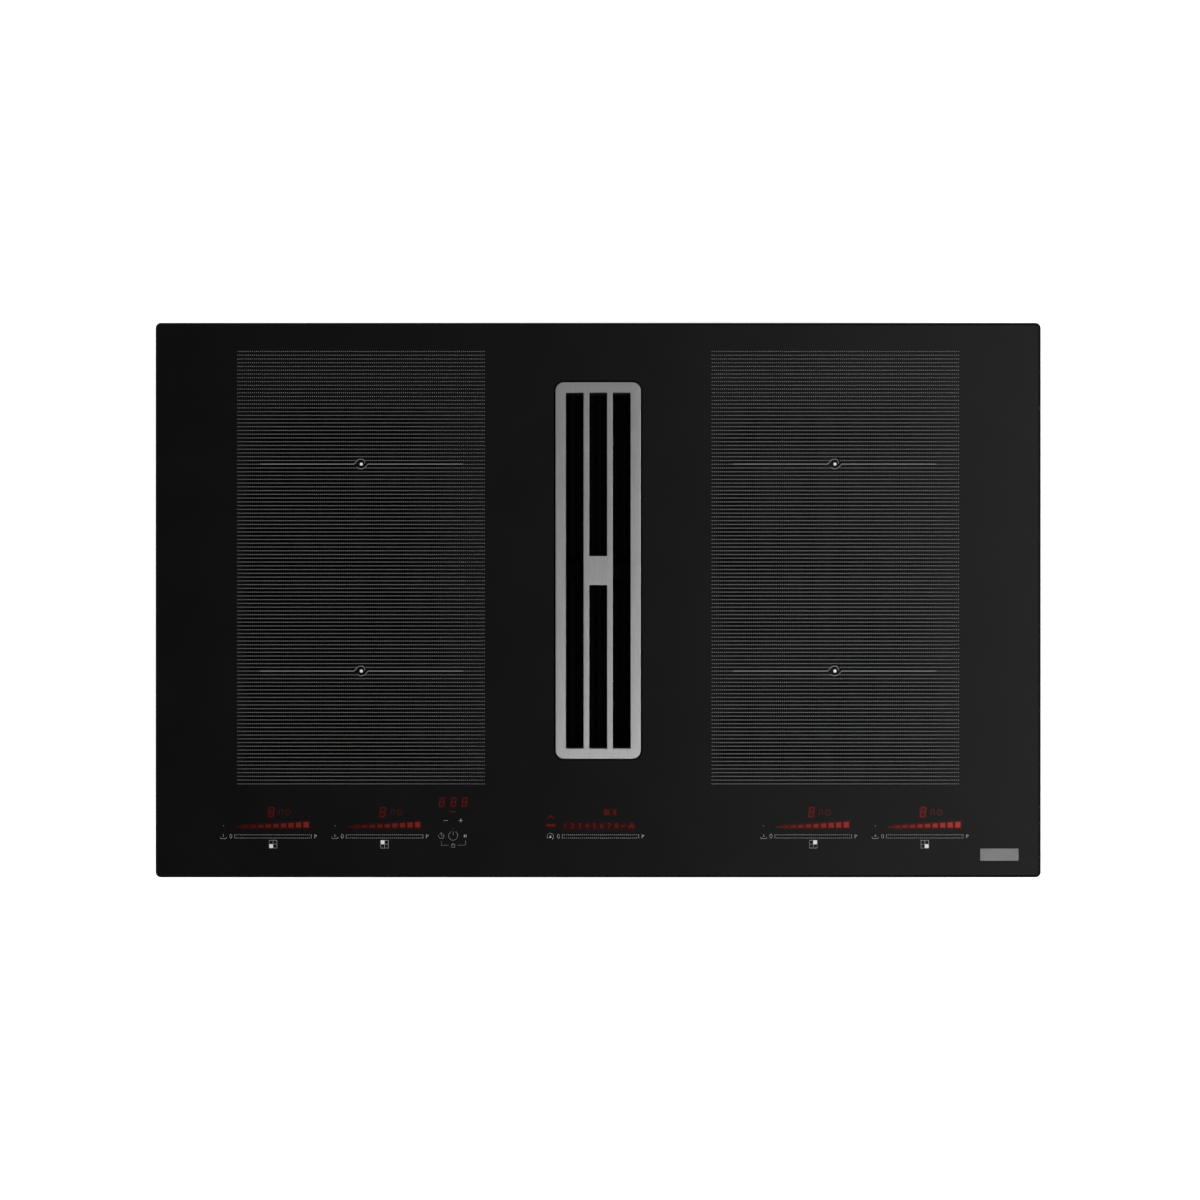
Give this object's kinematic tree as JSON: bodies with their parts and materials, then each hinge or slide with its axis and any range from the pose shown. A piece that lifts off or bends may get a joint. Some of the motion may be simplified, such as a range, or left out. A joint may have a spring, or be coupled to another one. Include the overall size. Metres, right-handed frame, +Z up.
{
  "type": "downdraft induction cooktop",
  "caption": "Built-in induction cooktop: black glass plate with dotted flexible zones, a lift-out central intake grille over a grease filter, and a blower in an air box under the pan.",
  "frame": {"origin": "on the worktop surface, under the middle of the glass plate", "axes": "+X to the user's right, +Y towards the wall, +Z up"},
  "size_m": [0.83, 0.52, 0.2125],
  "materials": {
    "black_glass": "polished",
    "seal_foam": "matt",
    "satin_metal": "satin",
    "pad_rubber": "matt",
    "black_plastic": "matt",
    "dark_plastic": "matt",
    "filter_aluminium": "matt",
    "zinc_steel": "satin",
    "bare_aluminium": "satin",
    "coil_winding": "satin",
    "motor_winding": "satin",
    "mica_sheet": "matt",
    "sensor_ceramic": "matt",
    "circuit_board": "satin",
    "terminal_plastic": "matt"
  },
  "bodies": {
    "cooktop": {"glass_plate": "black_glass", "worktop_seal": "seal_foam", "collar_gasket": "seal_foam", "intake_collar": "black_plastic", "airbox_cover": "black_plastic", "airbox_tub": "black_plastic", "outlet_spigot": "black_plastic", "terminal_box": "black_plastic", "terminal_cover": "black_plastic", "cable_gland": "black_plastic", "fan_housing_left": "black_plastic", "fan_housing_right": "black_plastic", "blower_scroll": "dark_plastic", "scroll_lid": "dark_plastic", "inlet_ring": "dark_plastic", "control_carrier": "dark_plastic", "base_pan": "zinc_steel", "motor_bracket": "zinc_steel", "clamp_front_left": "zinc_steel", "clamp_front_right": "zinc_steel", "clamp_rear_left": "zinc_steel", "clamp_rear_right": "zinc_steel", "coil_carrier_left": "bare_aluminium", "coil_carrier_right": "bare_aluminium", "heatsink_left": "bare_aluminium", "heatsink_right": "bare_aluminium", "coil_front_left": "coil_winding", "coil_front_right": "coil_winding", "coil_rear_left": "coil_winding", "coil_rear_right": "coil_winding", "motor_stator": "motor_winding", "insulation_sheet_left": "mica_sheet", "insulation_sheet_right": "mica_sheet", "sensor_front_left": "sensor_ceramic", "sensor_front_right": "sensor_ceramic", "sensor_rear_left": "sensor_ceramic", "sensor_rear_right": "sensor_ceramic", "power_board_left": "circuit_board", "power_board_right": "circuit_board", "mains_board": "circuit_board", "control_board": "circuit_board", "terminal_block": "terminal_plastic"},
    "grille": {"vent_grille": "satin_metal", "grille_pad_1": "pad_rubber", "grille_pad_2": "pad_rubber", "grille_pad_3": "pad_rubber", "grille_pad_4": "pad_rubber"},
    "filter": {"filter_frame": "dark_plastic", "filter_mesh": "filter_aluminium", "filter_handle": "filter_aluminium"},
    "collector": {"drip_collector": "dark_plastic"},
    "blower_wheel": {"impeller": "black_plastic", "motor_rotor": "zinc_steel", "motor_shaft": "zinc_steel"},
    "fan_wheel_left": {"fan_rotor_left": "dark_plastic"},
    "fan_wheel_right": {"fan_rotor_right": "dark_plastic"},
    "jack_front_left": {"clamp_screw_front_left": "zinc_steel"},
    "jack_front_right": {"clamp_screw_front_right": "zinc_steel"},
    "jack_rear_left": {"clamp_screw_rear_left": "zinc_steel"},
    "jack_rear_right": {"clamp_screw_rear_right": "zinc_steel"}
  },
  "joints": [
    {"name": "grille_lift", "type": "slide", "parent": "cooktop", "child": "grille", "axis": [0, 0, 1], "range_m": [0, 0.32]},
    {"name": "filter_lift", "type": "slide", "parent": "cooktop", "child": "filter", "axis": [0, 0, 1], "range_m": [0, 0.26]},
    {"name": "collector_lift", "type": "slide", "parent": "cooktop", "child": "collector", "axis": [0, 0, 1], "range_m": [0, 0.216]},
    {"name": "blower_spin", "type": "hinge", "parent": "cooktop", "child": "blower_wheel", "pos_m": [0.15814, -0.02978, -0.16], "axis": [0, 0, 1], "continuous": true},
    {"name": "fan_spin_left", "type": "hinge", "parent": "cooktop", "child": "fan_wheel_left", "pos_m": [-0.35, 0.162, -0.042], "axis": [0, 0, 1], "continuous": true},
    {"name": "fan_spin_right", "type": "hinge", "parent": "cooktop", "child": "fan_wheel_right", "pos_m": [0.35, 0.162, -0.042], "axis": [0, 0, 1], "continuous": true},
    {"name": "jack_front_left", "type": "slide", "parent": "cooktop", "child": "jack_front_left", "axis": [0, 0, 1], "range_m": [0, 0.036]},
    {"name": "jack_front_right", "type": "slide", "parent": "cooktop", "child": "jack_front_right", "axis": [0, 0, 1], "range_m": [0, 0.036]},
    {"name": "jack_rear_left", "type": "slide", "parent": "cooktop", "child": "jack_rear_left", "axis": [0, 0, 1], "range_m": [0, 0.036]},
    {"name": "jack_rear_right", "type": "slide", "parent": "cooktop", "child": "jack_rear_right", "axis": [0, 0, 1], "range_m": [0, 0.036]}
  ],
  "couplings": [
    {"joint": "filter_lift", "follows": "grille_lift", "ratio": 0.8125},
    {"joint": "collector_lift", "follows": "grille_lift", "ratio": 0.675}
  ]
}
